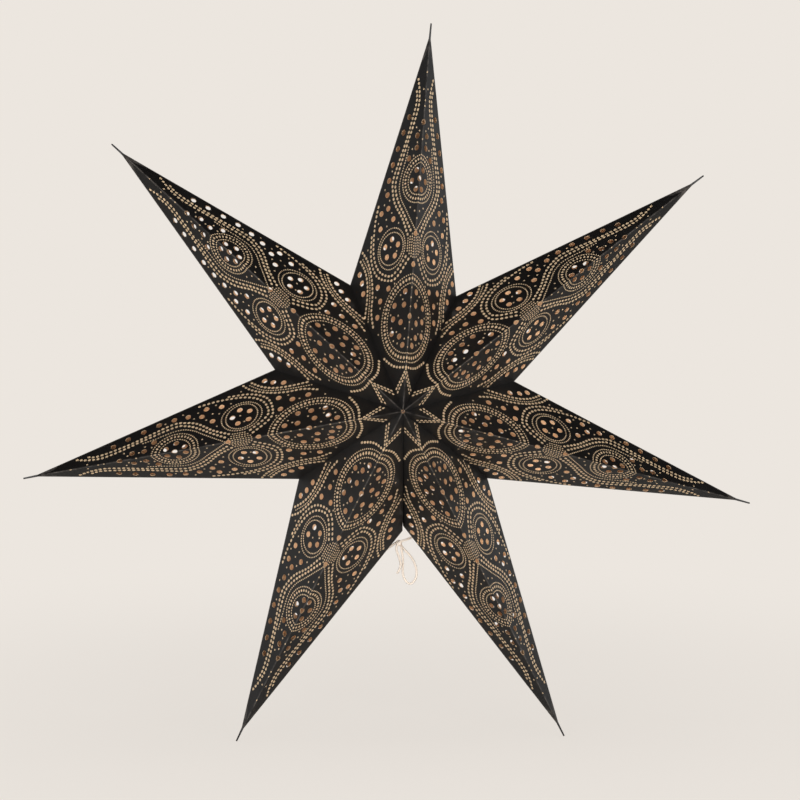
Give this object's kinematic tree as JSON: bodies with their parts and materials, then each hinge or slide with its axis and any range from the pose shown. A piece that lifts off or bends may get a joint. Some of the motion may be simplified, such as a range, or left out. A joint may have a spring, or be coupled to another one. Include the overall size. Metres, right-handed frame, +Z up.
{
  "type": "folded paper star lantern",
  "caption": "Star-shaped lantern of folded, punched black card with a printed dot pattern, glued from hollow pointed arms and tied shut with string.",
  "frame": {"origin": "centre of the arms' box, at the height of the two lower tips", "axes": "+Z up, +X to the right seen from the front, front of the star towards -Y"},
  "size_m": [0.5788, 0.1672, 0.5682],
  "materials": {
    "card": "satin black coated card with a printed dot pattern",
    "string": "twisted natural cotton"
  },
  "bodies": {
    "root": {"arm_top": "card", "arm_upper_left": "card", "arm_left": "card", "arm_lower_left": "card", "arm_lower_right": "card", "arm_right": "card", "arm_upper_right": "card", "tie_string_left": "string", "tie_string_right": "string", "tie_knot": "string"}
  },
  "joints": []
}
